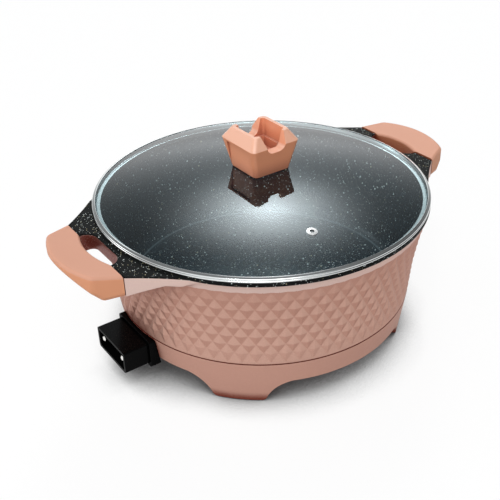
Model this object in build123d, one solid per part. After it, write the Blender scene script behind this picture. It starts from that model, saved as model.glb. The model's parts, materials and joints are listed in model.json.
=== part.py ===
from build123d import *
import os
from math import asin, atan2, cos, degrees, radians, sin, sqrt

# An electric multicooker: a cast pot with two side handles on a base ring with four feet,
# an appliance inlet on the -X side, and a loose glass lid with a square knob.
# Millimetres. The origin is on the table under the pot's axis, +Z is up, the handles lie along X.

# Pot casting
rim_radius = 160.0
rim_top_z = 142.0
rim_face_height = 4.0
rim_width = 5.4
rim_overhang = 1.6
wall_taper = 14.2
wall_foot_rise = 7.2
wall_bow = 2.6
wall_thickness = 4.2
nest_inset = 4.5
floor_top_z = 40.0
floor_thickness = 3.0
floor_corner_radius = 18.0
floor_bend_width = 18.3

# Cast handle ears and the finger gaps in them
ear_spread_angle = 42.0
ear_waist_angle = 27.15
ear_waist_reach = 7.0
ear_reach = 16.5
ear_side_width = 24.0
ear_top_drop = 0.5
ear_end_thickness = 19.5
ear_root_thickness = 8.5
ear_root_inset = 10.0
ear_edge_round = 1.5
finger_gap_inset = 5.0
finger_gap_half_width = 30.0
finger_gap_corner = 12.0
tenon_inset = 1.0
tenon_width = 10.0
tenon_length = 15.5
tenon_height = 9.0
tenon_top_drop = 3.5

# Handle grips
grip_joint_gap = 0.3
grip_length = 36.0
grip_shoulder_length = 24.3
grip_taper = 10.2
grip_recess_inset = 3.0
grip_recess_depth = 5.2
grip_inner_rise = 0.7
grip_outer_rise = 4.9
grip_depth = 22.5
grip_inner_depth = 20.5
grip_edge_height = 6.6
grip_edge_slope = 1.0
grip_corner_round = 9.0
grip_bottom_round = 6.0
grip_top_round = 3.0
tenon_fit = 0.25
grip_screw_offset = 8.5
grip_screw_radius = 2.0
grip_screw_head_radius = 3.5
grip_screw_head_height = 2.4
grip_screw_seat_drop = 4.6
grip_screw_length = 12.0

# Base ring and its feet
skirt_gap = 0.7
skirt_wall = 3.2
skirt_edge_drop = 0.3
skirt_taper = 6.6
ledge_width = 9.0
ledge_thickness = 3.0
foot_angles = (45.0, 135.0, 225.0, 315.0)
foot_lift = 0.9
foot_half_width = 24.0
foot_flare = 24.0
foot_flare_middle = 7.0
foot_flare_middle_drop = 9.8
foot_corner_round = 5.0
foot_depth = 19.6
foot_floor = 3.0
foot_pad_inset = 8.0
foot_pad_edge = 4.3
foot_pad_seat = 1.5
foot_pad_fit = 0.15

# Heating element under the floor
element_inset = 18.0
element_tube_radius = 3.5
element_bend_radius = 14.0
element_fit = 0.25
terminal_drop = 5.0
terminal_pitch = 36.4
boss_half_width = 8.0
boss_margin = 1.1
leg_block_gap = 5.5
leg_block_margin = 8.8

# Appliance inlet
inlet_reach = 34.8
inlet_back_reach = 8.8
inlet_side_room = 8.3
inlet_drop = 12.3
inlet_rise = 10.8
inlet_wall = 2.5
inlet_corner_round = 2.5
bezel_lip = 1.2
bezel_margin = 3.0
bezel_fit = 0.2
pad_inset = 1.7
pad_margin = 0.5
pad_skin = 0.35
pin_radius = 2.5
pin_tip_inset = 1.3
pin_tip_chamfer = 0.8
pin_shoulder = 0.5
insulator_wall = 2.0
insulator_flange = 0.8
insulator_collar = 2.5
insulator_tail = 2.0
insulator_bore_fit = 0.05
insulator_fit = 0.15
collar_gap = 0.2
probe_radius = 3.2
probe_sleeve_wall = 0.8
probe_flange = 1.2
probe_end_room = 12.0
probe_end_wall = 1.2
socket_screw_radius = 1.5
socket_screw_head_radius = 2.7
socket_screw_head_height = 2.2
socket_screw_depth = 2.8

# Bottom cover and what lies on it
cover_edge_gap = 0.6
cover_thickness = 0.8
insulation_edge_gap = 6.0
insulation_thickness = 1.2
reflector_edge_gap = 5.0
reflector_thickness = 0.5
reflector_gap = 0.3
cover_screw_angles = (60.0, 120.0, 240.0, 300.0)
cover_screw_radius = 1.5
cover_screw_head_radius = 2.8
cover_screw_head_height = 1.8
cover_boss_wall = 2.3
cover_boss_height = 4.6
cover_boss_skin = 2.0

# Screws from the base ring into the pot
base_screw_inset = 7.0
base_screw_foot_gap = 5.25
base_screw_radius = 2.0
base_screw_head_radius = 3.8
base_screw_head_height = 2.2
pot_boss_wall = 3.0
pot_boss_skin = 2.5
spacer_thickness = 2.6
screw_hole_fit = 0.3
thread_fit = 0.05

# Lid
lid_rest_gap = 0.3
lid_edge_height = 3.7
glass_edge_gap = 0.5
glass_thickness = 3.0
dome_rise = 21.7
band_sheet = 0.5
band_grip = 3.0
band_lip_gap = 1.6
band_lip_depth = 3.5
band_round = 1.5
sheet_fit = 0.1
vent_edge_distance = 45.75
vent_angle = -103.55
vent_bore_radius = 2.0
vent_barrel_wall = 1.2
vent_flange_width = 1.55
vent_flange_thickness = 0.8
vent_fit = 0.2

# Knob
knob_lift = 0.3
knob_height = 39.0
knob_waist_half = 20.2
knob_flare = 6.2
knob_bevel_height = 10.4
knob_bevel = 6.8
knob_corner_round = 4.5
cup_wall = 3.4
cup_depth = 17.0
cup_ledge_width = 2.5
cup_well_depth = 8.7
cup_corner_round = 2.5
notch_half_width = 11.0
notch_depth = 16.2
notch_corner_round = 7.0
notch_spread = 2.5
finger_panel_side_wall = 3.3
finger_panel_depth = 2.4
finger_panel_top_drop = 1.8
finger_panel_foot = 2.5
knob_screw_radius = 2.5
knob_screw_head_radius = 5.0
knob_screw_head_height = 3.0
knob_screw_end_gap = 0.6
glass_hole_fit = 0.9
washer_radius = 8.0
washer_thickness = 1.2
under_washer_margin = 1.0
under_washer_thickness = 0.8
gasket_radius = 10.0
gasket_thickness = 1.2
gasket_recess_fit = 0.3
insert_wall = 1.7
insert_cover = 2.0

# Places on the pot that follow from the sizes above
rim_under_z = rim_top_z-rim_face_height
rim_inner_radius = rim_radius-rim_width
wall_top_radius = rim_radius-rim_overhang
wall_foot_radius = rim_radius-wall_taper
wall_foot_z = floor_top_z+wall_foot_rise
nest_radius = wall_foot_radius-nest_inset
floor_under_z = floor_top_z-floor_thickness
floor_flat_radius = nest_radius-floor_bend_width
ear_end_x = rim_radius+ear_reach
ear_root_x = rim_radius-ear_root_inset
ear_top_z = rim_top_z-ear_top_drop
ear_end_half_width = finger_gap_half_width+ear_side_width
finger_gap_start_x = rim_radius+finger_gap_inset
tenon_inner_y = finger_gap_half_width+tenon_inset
tenon_outer_y = tenon_inner_y+tenon_width
tenon_top_z = ear_top_z-tenon_top_drop
tenon_bottom_z = tenon_top_z-tenon_height
grip_start_x = ear_end_x+grip_joint_gap
grip_end_x = ear_end_x+grip_length
grip_shoulder_x = ear_end_x+grip_shoulder_length
grip_end_half_width = ear_end_half_width-grip_taper
grip_recess_half_width = finger_gap_half_width-grip_recess_inset
grip_inner_top_z = ear_top_z+grip_inner_rise
grip_outer_top_z = ear_top_z+grip_outer_rise
grip_bottom_z = ear_top_z-grip_depth
grip_inner_bottom_z = ear_top_z-grip_inner_depth
grip_edge_z = grip_outer_top_z-grip_edge_height
grip_lowest_x = grip_end_x-(grip_edge_z-grip_bottom_z)/grip_edge_slope
grip_screw_x = ear_end_x+grip_screw_offset
grip_screw_y = (tenon_inner_y+tenon_outer_y)/2
grip_screw_seat_z = tenon_bottom_z-grip_screw_seat_drop

# Places in the base
terminal_z = floor_under_z-terminal_drop
boss_bottom_z = terminal_z-element_tube_radius-boss_margin
reflector_bottom_z = boss_bottom_z-reflector_gap-reflector_thickness
ledge_bottom_z = reflector_bottom_z-insulation_thickness
ledge_top_z = ledge_bottom_z+ledge_thickness
cover_bottom_z = ledge_bottom_z-cover_thickness
skirt_top_z = wall_foot_z-skirt_gap
skirt_edge_z = cover_bottom_z-skirt_edge_drop
skirt_foot_radius = wall_foot_radius-skirt_taper
foot_inner_radius = skirt_foot_radius-foot_depth
foot_flare_half_width = foot_half_width+foot_flare
foot_pad_length = 2*(foot_half_width-foot_pad_inset)
foot_pad_width = foot_depth-2*foot_pad_edge
foot_pad_height = foot_lift+foot_pad_seat
cover_radius = foot_inner_radius-cover_edge_gap
ledge_inner_radius = cover_radius-ledge_width
cover_screw_ring = (ledge_inner_radius+cover_radius)/2
cover_boss_top_z = ledge_top_z+cover_boss_height
base_screw_ring = cover_radius+base_screw_inset
base_screw_spread = degrees(asin((foot_flare_half_width+base_screw_foot_gap)/base_screw_ring))
base_screw_angles = [angle+sign*base_screw_spread for angle, sign in zip(foot_angles, (1, -1, 1, -1))]
element_radius = ledge_inner_radius-element_inset
leg_y = terminal_pitch/2
leg_block_half_width = leg_y+leg_block_margin
inlet_mouth_x = skirt_foot_radius+inlet_reach
inlet_back_x = skirt_foot_radius+inlet_back_reach
inlet_half_width = leg_y+inlet_side_room
inlet_bottom_z = terminal_z-inlet_drop
inlet_top_z = terminal_z+inlet_rise
bezel_front_x = inlet_back_x+bezel_lip
pad_inner_x = skirt_foot_radius-pad_inset
pad_half_width = inlet_half_width+bezel_margin+pad_margin
leg_block_x = pad_inner_x-leg_block_gap
element_end_x = leg_block_x+insulator_tail
pin_shank_radius = pin_radius-pin_shoulder
insulator_radius = pin_shank_radius+insulator_wall
insulator_front_x = inlet_back_x+insulator_collar
pad_top_z = terminal_z+insulator_radius+insulator_fit+pad_skin
probe_sleeve_radius = probe_radius+probe_sleeve_wall
probe_depth_x = element_radius+probe_end_room
socket_screw_y = leg_y/2

# Places on the lid and the knob
lid_bottom_z = rim_top_z+lid_rest_gap
glass_edge_z = lid_bottom_z+lid_edge_height
glass_radius = rim_radius-band_sheet-glass_edge_gap
dome_top_z = glass_edge_z+dome_rise
dome_radius = (glass_radius**2+dome_rise**2)/(2*dome_rise)
dome_centre_z = dome_top_z-dome_radius
glass_under_z = dome_top_z-glass_thickness
vent_barrel_radius = vent_bore_radius+vent_barrel_wall
vent_flange_radius = vent_barrel_radius+vent_flange_width
knob_base_z = dome_top_z+knob_lift
knob_wide_half = knob_waist_half+knob_flare
knob_wide_height = knob_height-knob_bevel_height
knob_top_half = knob_wide_half-knob_bevel
cup_ledge_height = knob_height-cup_depth
cup_floor_height = cup_ledge_height-cup_well_depth
under_washer_top_z = glass_under_z-sheet_fit
washer_top_z = under_washer_top_z-under_washer_thickness
knob_screw_seat_z = washer_top_z-washer_thickness
insert_bottom_z = dome_top_z+gasket_thickness+sheet_fit
insert_top_z = knob_base_z+cup_floor_height-insert_cover
insert_radius = knob_screw_radius+insert_wall
glass_hole_radius = knob_screw_radius+glass_hole_fit
reach = 2*rim_radius


def face_of(*edges):
    """The flat face inside a closed loop of edges."""
    return make_face([edge for part in edges for edge in part.edges()])


def turned(profile):
    """Turn a face drawn as (radius, height) round the pot's axis."""
    return revolve(Plane.XZ*profile, Axis.Z)


def turned_polygon(*points):
    return turned(make_face(Polyline(*points, close=True).edges()))


def block(x_range, y_range, z_range):
    """A box between three pairs of limits."""
    size = [limits[1]-limits[0] for limits in (x_range, y_range, z_range)]
    centre = [sum(limits)/2 for limits in (x_range, y_range, z_range)]
    return Pos(*centre)*Box(*size)


def upright(x, y, radius, z_low, z_high):
    """A round bar along Z."""
    return Pos(x, y, z_low)*Cylinder(radius, z_high-z_low, align=(Align.CENTER, Align.CENTER, Align.MIN))


def inlet_bar(y, radius, x_inner, x_outer):
    """A round bar along X at the height of the terminals, between two distances out from the axis."""
    bar = Cylinder(radius, x_outer-x_inner, align=(Align.CENTER, Align.CENTER, Align.MIN))
    return Plane(origin=(-x_inner, y, terminal_z), z_dir=(-1, 0, 0))*bar


def on_ring(radius, angle):
    return radius*cos(radians(angle)), radius*sin(radians(angle))


def both_ends(piece):
    """A piece and its mirror image on the other side of the pot."""
    return piece+mirror(piece, about=Plane.YZ)


def skirt_outer_radius(z):
    """The base ring's cone, from the pot's foot down to the table."""
    return skirt_foot_radius+(wall_foot_radius-skirt_foot_radius)*z/skirt_top_z


def dome_height(radius):
    """Height of the glass's top face at a distance from the axis."""
    return dome_centre_z+sqrt(dome_radius**2-radius**2)


def skirt_cone(z_low, z_high, inset=0.0):
    return turned_polygon(
        (0, z_low),
        (skirt_outer_radius(z_low)-inset, z_low),
        (skirt_outer_radius(z_high)-inset, z_high),
        (0, z_high),
    )


def pot_bowl():
    wall_foot = (wall_foot_radius, wall_foot_z)
    inner_foot = (wall_foot_radius-wall_thickness, floor_top_z)
    profile = face_of(
        Line((0, floor_top_z), (0, floor_under_z)),
        Line((0, floor_under_z), (floor_flat_radius, floor_under_z)),
        TangentArc((floor_flat_radius, floor_under_z), (nest_radius, wall_foot_z), tangent=(1, 0)),
        Line((nest_radius, wall_foot_z), wall_foot),
        SagittaArc(wall_foot, (wall_top_radius, rim_under_z), wall_bow),
        Line((wall_top_radius, rim_under_z), (rim_radius, rim_under_z)),
        Line((rim_radius, rim_under_z), (rim_radius, rim_top_z)),
        Line((rim_radius, rim_top_z), (rim_inner_radius, rim_top_z)),
        SagittaArc((rim_inner_radius, rim_top_z), inner_foot, -wall_bow),
        Line(inner_foot, (0, floor_top_z)),
    )
    corner = profile.vertices().sort_by_distance((*inner_foot, 0))[0]
    return turned(fillet(corner, floor_corner_radius))


def handle_ear():
    """The cast ear on the +X side, with its finger gap and the tenons that go into the grip."""
    spread = on_ring(rim_radius, ear_spread_angle)
    waist = on_ring(rim_radius+ear_waist_reach, ear_waist_angle)
    root = on_ring(wall_top_radius-2*rim_width, ear_spread_angle)
    tip = (ear_end_x, ear_end_half_width)
    half = face_of(
        Line((0, 0), root),
        Line(root, spread),
        ThreePointArc(spread, waist, tip),
        Line(tip, (ear_end_x, 0)),
        Line((ear_end_x, 0), (0, 0)),
    )
    plan = half+mirror(half, about=Plane.XZ)
    under_end = ear_top_z-ear_end_thickness
    under_root = ear_top_z-ear_root_thickness
    side = make_face(Polyline(
        (0, ear_top_z), (ear_end_x, ear_top_z), (ear_end_x, under_end),
        (ear_root_x, under_root), (0, under_root), close=True,
    ).edges())
    ear = extrude(plan, amount=reach) & extrude(Plane.XZ*side, amount=reach, both=True)
    top_edges = ear.edges().group_by(Axis.Z)[-1].filter_by(GeomType.CIRCLE)
    ear = fillet(top_edges, ear_edge_round)
    gap_length = 2*finger_gap_half_width
    gap_plan = Pos(finger_gap_start_x+gap_length/2, 0)*RectangleRounded(
        gap_length, 2*finger_gap_half_width, finger_gap_corner)
    ear -= extrude(gap_plan, amount=reach)
    ear -= upright(0, 0, (rim_radius+rim_inner_radius)/2, 0, reach)
    for side_sign in (-1, 1):
        tenon_y = sorted((side_sign*tenon_inner_y, side_sign*tenon_outer_y))
        tenon = block(
            (ear_end_x-grip_joint_gap, ear_end_x+tenon_length), tenon_y,
            (tenon_bottom_z, tenon_top_z))
        ear += tenon
        ear -= upright(
            grip_screw_x, side_sign*grip_screw_y, grip_screw_radius+thread_fit,
            0, grip_screw_seat_z+grip_screw_length+thread_fit)
    return ear


def element_run(section):
    """A bar along the element's path: in along one leg, round under the floor and out again.

    The section is drawn with its own Y upwards, centred on the tube.
    """
    bend_y = leg_y+element_bend_radius
    bend_x = sqrt((element_radius+element_bend_radius)**2-bend_y**2)
    turn = degrees(atan2(bend_y, bend_x))
    leg_plane = Plane(origin=(-bend_x, leg_y, terminal_z), x_dir=(0, -1, 0), z_dir=(-1, 0, 0))
    leg = leg_plane*extrude(section, amount=element_end_x-bend_x)
    bend_section = Plane.XZ*(Pos(element_bend_radius, terminal_z)*section)
    bend = Pos(-bend_x, bend_y)*Rot(0, 0, -90)*revolve(bend_section, Axis.Z, 90-turn)
    side = leg+bend
    ring_section = Plane.XZ*(Pos(element_radius, terminal_z)*section)
    ring = Rot(0, 0, 180+turn)*revolve(ring_section, Axis.Z, 360-2*turn)
    return ring+side+mirror(side, about=Plane.XZ)


def pot_casting():
    pot = pot_bowl()
    ear = handle_ear()
    pot += ear
    pot += mirror(ear, about=Plane.YZ)
    boss_top_z = floor_top_z-floor_thickness/2
    pot += turned_polygon(
        (element_radius-boss_half_width, boss_bottom_z),
        (element_radius+boss_half_width, boss_bottom_z),
        (element_radius+boss_half_width, boss_top_z),
        (element_radius-boss_half_width, boss_top_z),
    )
    pot += block(
        (-leg_block_x, -element_radius), (-leg_block_half_width, leg_block_half_width),
        (boss_bottom_z, boss_top_z))
    for angle in base_screw_angles:
        x, y = on_ring(base_screw_ring, angle)
        boss_bottom = ledge_top_z+spacer_thickness
        pot += upright(x, y, base_screw_radius+pot_boss_wall, boss_bottom, boss_top_z)
        pot -= upright(x, y, base_screw_radius+thread_fit, boss_bottom, floor_top_z-pot_boss_skin+thread_fit)
    channel_radius = element_tube_radius+element_fit
    channel_depth = terminal_z-boss_bottom_z
    channel = Circle(channel_radius)+Pos(0, -channel_depth/2)*Rectangle(2*channel_radius, channel_depth)
    pot -= element_run(channel)
    pot -= inlet_bar(0, probe_sleeve_radius+thread_fit, probe_depth_x-thread_fit, leg_block_x)
    return pot


def heating_element():
    return element_run(Circle(element_tube_radius))


def terminal_pin(y):
    """A contact pin: a thick free end in the inlet and a thinner shank through the insulator."""
    tip_x = inlet_mouth_x-pin_tip_inset
    shoulder_x = insulator_front_x+collar_gap
    free_end = inlet_bar(y, pin_radius, shoulder_x, tip_x)
    tip_edge = free_end.edges().sort_by(Axis.X)[0]
    free_end = chamfer(tip_edge, pin_tip_chamfer)
    return free_end+inlet_bar(y, pin_shank_radius, element_end_x, shoulder_x)


def terminal_insulator(y):
    """A ceramic bead with a collar that seats on the back wall of the inlet."""
    bead = inlet_bar(y, insulator_radius, element_end_x+collar_gap, insulator_front_x)
    bead += inlet_bar(y, insulator_radius+insulator_flange, inlet_back_x, insulator_front_x)
    return bead-inlet_bar(y, pin_shank_radius+insulator_bore_fit, element_radius, reach)


def probe_sleeve():
    """A blind metal sleeve that takes the control plug's temperature probe into the pot casting."""
    sleeve = inlet_bar(0, probe_sleeve_radius, probe_depth_x, insulator_front_x)
    sleeve += inlet_bar(0, probe_sleeve_radius+probe_flange, inlet_back_x, insulator_front_x)
    return sleeve-inlet_bar(0, probe_radius, probe_depth_x+probe_end_wall, reach)


def inlet_holes():
    """Holes through the inlet's back wall and the base ring for pins and probe sleeve."""
    holes = inlet_bar(0, probe_sleeve_radius+insulator_fit, element_radius, inlet_mouth_x)
    for y in (-leg_y, leg_y):
        holes += inlet_bar(y, insulator_radius+insulator_fit, element_radius, inlet_mouth_x)
    return holes


def inlet_box(margin, x_front, x_back):
    """A rounded rectangular bar along X, the inlet's outside grown by a margin."""
    width = 2*(inlet_half_width+margin)
    height = inlet_top_z-inlet_bottom_z+2*margin
    middle_z = (inlet_top_z+inlet_bottom_z)/2
    section = RectangleRounded(width, height, inlet_corner_round)
    plane = Plane(origin=(-x_back, 0, middle_z), x_dir=(0, 1, 0), z_dir=(-1, 0, 0))
    return plane*extrude(section, amount=x_front-x_back)


def socket_shroud():
    shroud = inlet_box(0, inlet_mouth_x, pad_inner_x)
    shroud -= inlet_box(-inlet_wall, inlet_mouth_x, inlet_back_x)
    shroud -= skirt_cone(0, rim_under_z)
    shroud -= inlet_holes()
    for y in (-socket_screw_y, socket_screw_y):
        x_start = skirt_outer_radius(terminal_z)
        shroud -= inlet_bar(y, socket_screw_radius+thread_fit, element_radius, x_start+socket_screw_depth)
    return shroud


def socket_bezel():
    bezel = inlet_box(bezel_margin, bezel_front_x, pad_inner_x)
    bezel -= inlet_box(bezel_fit, inlet_mouth_x, element_radius)
    return bezel-skirt_cone(0, rim_under_z)


def socket_screws():
    screws = []
    for y in (-socket_screw_y, socket_screw_y):
        head_x = pad_inner_x-socket_screw_head_height
        screw = inlet_bar(y, socket_screw_head_radius, head_x, pad_inner_x)
        tip_x = skirt_outer_radius(terminal_z)+socket_screw_depth-thread_fit
        screws.append(screw+inlet_bar(y, socket_screw_radius, head_x, tip_x))
    return screws


def foot_outline(shrink, z_low, z_high):
    """Front view of a foot: a flat bottom with round corners, flaring up into the ring."""
    low = foot_half_width-shrink
    wide = foot_flare_half_width-shrink
    middle = (low+foot_flare_middle, skirt_edge_z-foot_flare_middle_drop)
    flare = ThreePointArc((low, z_low), middle, (wide, skirt_edge_z))
    flare_back = ThreePointArc((-wide, skirt_edge_z), (-middle[0], middle[1]), (-low, z_low))
    outline = face_of(
        Line((-low, z_low), (low, z_low)),
        flare,
        Line((wide, skirt_edge_z), (wide, z_high)),
        Line((wide, z_high), (-wide, z_high)),
        Line((-wide, z_high), (-wide, skirt_edge_z)),
        flare_back,
    )
    return fillet(outline.vertices().group_by(Axis.Y)[0], foot_corner_round)


def foot_bar(angle, outline):
    """A bar with a foot's outline that runs out from the pot's axis at an angle."""
    plane = Plane(origin=(0, 0, 0), x_dir=(-sin(radians(angle)), cos(radians(angle)), 0),
                  z_dir=(cos(radians(angle)), sin(radians(angle)), 0))
    return plane*extrude(outline, amount=reach)


def foot_pad_place(angle):
    middle_radius = (foot_inner_radius+skirt_outer_radius(0))/2
    return Pos(*on_ring(middle_radius, angle))*Rot(0, 0, angle+90)


def base_skirt():
    skirt = skirt_cone(skirt_edge_z, skirt_top_z)-skirt_cone(0, reach, skirt_wall)
    skirt += turned_polygon(
        (ledge_inner_radius, ledge_bottom_z),
        (skirt_outer_radius(ledge_bottom_z)-skirt_wall/2, ledge_bottom_z),
        (skirt_outer_radius(ledge_top_z)-skirt_wall/2, ledge_top_z),
        (ledge_inner_radius, ledge_top_z),
    )
    foot_ring = turned_polygon(
        (foot_inner_radius, foot_lift),
        (skirt_outer_radius(foot_lift), foot_lift),
        (skirt_outer_radius(ledge_top_z), ledge_top_z),
        (foot_inner_radius, ledge_top_z),
    )
    cavity_floor_z = foot_lift+foot_floor
    cavity_ring = turned_polygon(
        (foot_inner_radius+skirt_wall, cavity_floor_z),
        (skirt_outer_radius(cavity_floor_z)-skirt_wall, cavity_floor_z),
        (skirt_outer_radius(skirt_top_z)-skirt_wall, skirt_top_z),
        (foot_inner_radius+skirt_wall, skirt_top_z),
    )
    outer_outline = foot_outline(0, foot_lift, ledge_top_z)
    inner_outline = foot_outline(skirt_wall, cavity_floor_z, skirt_top_z)
    for angle in foot_angles:
        skirt += foot_ring & foot_bar(angle, outer_outline)
        skirt -= cavity_ring & foot_bar(angle, inner_outline)
        pocket = SlotOverall(foot_pad_length+2*foot_pad_fit, foot_pad_width+2*foot_pad_fit)
        skirt -= foot_pad_place(angle)*extrude(pocket, amount=foot_pad_height+foot_pad_fit)
    for angle in cover_screw_angles:
        x, y = on_ring(cover_screw_ring, angle)
        skirt += upright(x, y, cover_screw_radius+cover_boss_wall, ledge_top_z, cover_boss_top_z)
        skirt -= upright(
            x, y, cover_screw_radius+thread_fit, ledge_bottom_z, cover_boss_top_z-cover_boss_skin+thread_fit)
    for angle in base_screw_angles:
        x, y = on_ring(base_screw_ring, angle)
        skirt -= upright(x, y, base_screw_radius+screw_hole_fit, 0, ledge_top_z)
    window_half_width = leg_block_half_width+2*collar_gap
    skirt -= block(
        (-leg_block_x-2*collar_gap, -element_radius), (-window_half_width, window_half_width),
        (boss_bottom_z-reflector_gap, ledge_top_z))
    pad = block(
        (-skirt_outer_radius(skirt_edge_z), -pad_inner_x), (-pad_half_width, pad_half_width),
        (skirt_edge_z, pad_top_z))
    skirt += pad & skirt_cone(skirt_edge_z, pad_top_z)
    skirt -= inlet_holes()
    for y in (-socket_screw_y, socket_screw_y):
        skirt -= inlet_bar(y, socket_screw_radius+screw_hole_fit, pad_inner_x, inlet_mouth_x)
    return skirt


def foot_pad(angle):
    outline = SlotOverall(foot_pad_length, foot_pad_width)
    return foot_pad_place(angle)*extrude(outline, amount=foot_pad_height)


def base_cover():
    cover = upright(0, 0, cover_radius, cover_bottom_z, ledge_bottom_z)
    for angle in cover_screw_angles:
        x, y = on_ring(cover_screw_ring, angle)
        cover -= upright(x, y, cover_screw_radius+screw_hole_fit, 0, ledge_bottom_z)
    return cover


def insulation_pad():
    radius = ledge_inner_radius-insulation_edge_gap
    return upright(0, 0, radius, ledge_bottom_z, reflector_bottom_z)


def reflector_plate():
    radius = ledge_inner_radius-reflector_edge_gap
    return upright(0, 0, radius, reflector_bottom_z, reflector_bottom_z+reflector_thickness)


def spacer_washers():
    washers = []
    for angle in base_screw_angles:
        x, y = on_ring(base_screw_ring, angle)
        washer = upright(x, y, base_screw_radius+pot_boss_wall, ledge_top_z, ledge_top_z+spacer_thickness)
        washers.append(washer-upright(x, y, base_screw_radius+screw_hole_fit, 0, reach))
    return washers


def standing_screw(x, y, seat_z, head_radius, head_height, radius, length):
    """A screw driven upwards, its head under the seat."""
    screw = upright(x, y, head_radius, seat_z-head_height, seat_z)
    screw += upright(x, y, radius, seat_z, seat_z+length)
    recess = Pos(x, y, seat_z-head_height)*extrude(RegularPolygon(radius, 6), amount=head_height/2)
    return screw-recess


def base_screws():
    screws = []
    for angle in base_screw_angles:
        x, y = on_ring(base_screw_ring, angle)
        screws.append(standing_screw(
            x, y, ledge_bottom_z, base_screw_head_radius, base_screw_head_height,
            base_screw_radius, floor_top_z-pot_boss_skin-ledge_bottom_z))
    return screws


def cover_screws():
    screws = []
    for angle in cover_screw_angles:
        x, y = on_ring(cover_screw_ring, angle)
        screws.append(standing_screw(
            x, y, cover_bottom_z, cover_screw_head_radius, cover_screw_head_height,
            cover_screw_radius, cover_boss_top_z-cover_boss_skin-cover_bottom_z))
    return screws


def grip_screws():
    screws = []
    for x in (-grip_screw_x, grip_screw_x):
        for y in (-grip_screw_y, grip_screw_y):
            screws.append(standing_screw(
                x, y, grip_screw_seat_z, grip_screw_head_radius, grip_screw_head_height,
                grip_screw_radius, grip_screw_length))
    return screws


def handle_grip():
    """The moulded grip on the +X side, with pockets for the ear's tenons."""
    shoulder = (grip_shoulder_x, grip_end_half_width)
    shoulder_back = (grip_shoulder_x, -grip_end_half_width)
    inner = (grip_start_x, ear_end_half_width)
    inner_back = (grip_start_x, -ear_end_half_width)
    recess = (grip_start_x, grip_recess_half_width)
    recess_back = (grip_start_x, -grip_recess_half_width)
    plan = face_of(
        Line(inner, shoulder),
        ThreePointArc(shoulder, (grip_end_x, 0), shoulder_back),
        Line(shoulder_back, inner_back),
        Line(inner_back, recess_back),
        ThreePointArc(recess_back, (grip_start_x+grip_recess_depth, 0), recess),
        Line(recess, inner),
    )
    corners = plan.vertices().filter_by(lambda v: abs(v.X-grip_shoulder_x) < 1e-3)
    plan = fillet(corners, grip_corner_round)
    top_slope = (grip_outer_rise-grip_inner_rise)/grip_length
    side_margin = grip_edge_height/2
    side = make_face(Polyline(
        (ear_end_x, grip_inner_top_z),
        (grip_end_x+side_margin, grip_outer_top_z+top_slope*side_margin),
        (grip_end_x+side_margin, grip_edge_z+grip_edge_slope*side_margin),
        (grip_lowest_x, grip_bottom_z),
        (ear_end_x, grip_inner_bottom_z),
        close=True,
    ).edges())
    grip = extrude(plan, amount=reach) & extrude(Plane.XZ*side, amount=reach, both=True)
    bottom_edges = grip.edges().filter_by(
        lambda e: e.bounding_box().max.Z < grip_inner_top_z
        and (abs(e.tangent_at(0.5).Y) < 0.99 or e.center().X > grip_lowest_x-1))
    grip = fillet(bottom_edges, grip_bottom_round)
    top_edges = grip.edges().filter_by(
        lambda e: e.bounding_box().min.Z > grip_inner_top_z-0.5 and e.center().X > grip_start_x+1)
    grip = fillet(top_edges, grip_top_round)
    for side_sign in (-1, 1):
        pocket_y = sorted((side_sign*(tenon_inner_y-tenon_fit), side_sign*(tenon_outer_y+tenon_fit)))
        grip -= block(
            (0, ear_end_x+tenon_length+tenon_fit), pocket_y,
            (tenon_bottom_z-tenon_fit, tenon_top_z+tenon_fit))
        y = side_sign*grip_screw_y
        grip -= upright(grip_screw_x, y, grip_screw_radius+screw_hole_fit, 0, tenon_bottom_z)
        grip -= upright(grip_screw_x, y, grip_screw_head_radius+screw_hole_fit, 0, grip_screw_seat_z)
    return grip


def vent_plane():
    """Frame on the glass at the vent: +Z stands square to the glass."""
    radius = glass_radius-vent_edge_distance
    x, y = on_ring(radius, vent_angle)
    z = dome_height(radius)
    return Plane(origin=(x, y, z), z_dir=(x, y, z-dome_centre_z))


def lid_glass():
    inner_radius = dome_radius-glass_thickness
    under_edge_z = dome_centre_z+sqrt(inner_radius**2-glass_radius**2)
    half = glass_radius/2
    under_half_z = dome_centre_z+sqrt(inner_radius**2-half**2)
    glass = turned(face_of(
        Line((0, glass_under_z), (0, dome_top_z)),
        ThreePointArc((0, dome_top_z), (half, dome_height(half)), (glass_radius, glass_edge_z)),
        Line((glass_radius, glass_edge_z), (glass_radius, under_edge_z)),
        ThreePointArc((glass_radius, under_edge_z), (half, under_half_z), (0, glass_under_z)),
    ))
    glass -= upright(0, 0, glass_hole_radius, 0, reach)
    hole = vent_plane()*Cylinder(vent_barrel_radius+vent_fit, 4*glass_thickness)
    return glass-hole


def lid_rim_band():
    """A rolled steel band over the glass's edge, with a lip that drops inside the pot's rim."""
    flange_radius = rim_radius-band_grip
    groove_radius = rim_radius-band_sheet
    lip_outer = rim_inner_radius-band_lip_gap
    lip_inner = lip_outer-band_sheet
    lip_bottom = lid_bottom_z-band_lip_depth
    floor_z = lid_bottom_z+band_sheet
    profile = make_face(Polyline(
        (lip_outer, lid_bottom_z),
        (rim_radius, lid_bottom_z),
        (rim_radius, dome_height(rim_radius)+sheet_fit+band_sheet),
        (flange_radius, dome_height(flange_radius)+sheet_fit+band_sheet),
        (flange_radius, dome_height(flange_radius)+sheet_fit),
        (groove_radius, dome_height(groove_radius)+sheet_fit),
        (groove_radius, floor_z),
        (lip_inner, floor_z),
        (lip_inner, lip_bottom),
        (lip_outer, lip_bottom),
        close=True,
    ).edges())
    top_corner = profile.vertices().filter_by(
        lambda v: abs(v.X-rim_radius) < 1e-3).sort_by(Axis.Y)[-1]
    return turned(fillet(top_corner, band_round))


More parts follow.
